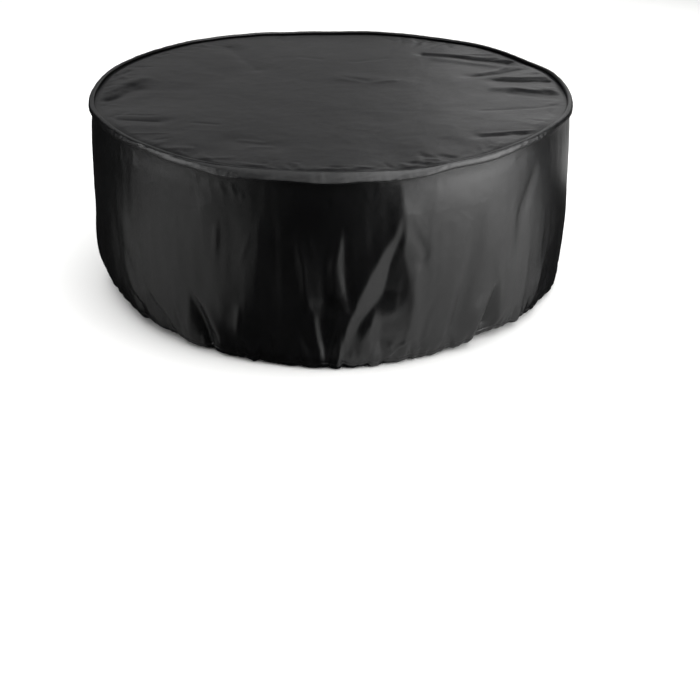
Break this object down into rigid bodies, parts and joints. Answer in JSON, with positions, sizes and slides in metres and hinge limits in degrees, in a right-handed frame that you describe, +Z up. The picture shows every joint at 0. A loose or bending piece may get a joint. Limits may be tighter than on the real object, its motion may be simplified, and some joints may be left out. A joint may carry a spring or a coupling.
{
  "type": "patio furniture cover",
  "caption": "Round drum-shaped fabric cover with a bound rim and an elastic-gathered hem, hanging as it does over outdoor furniture.",
  "frame": {"origin": "centre of the circle on the ground under the cover, at the level of the hem's lowest point", "axes": "+Z up, -Y towards the side that the picture shows, +X to the right in the picture"},
  "size_m": [1.9947, 1.9978, 0.8106],
  "materials": {
    "cover_cloth": "black coated oxford weave with a soft satin sheen",
    "binding_cloth": "black folded strip of the same coated cloth, top-stitched"
  },
  "bodies": {
    "root": {"side_wall": "cover_cloth", "top_panel": "cover_cloth", "rim_binding": "binding_cloth"}
  },
  "joints": []
}
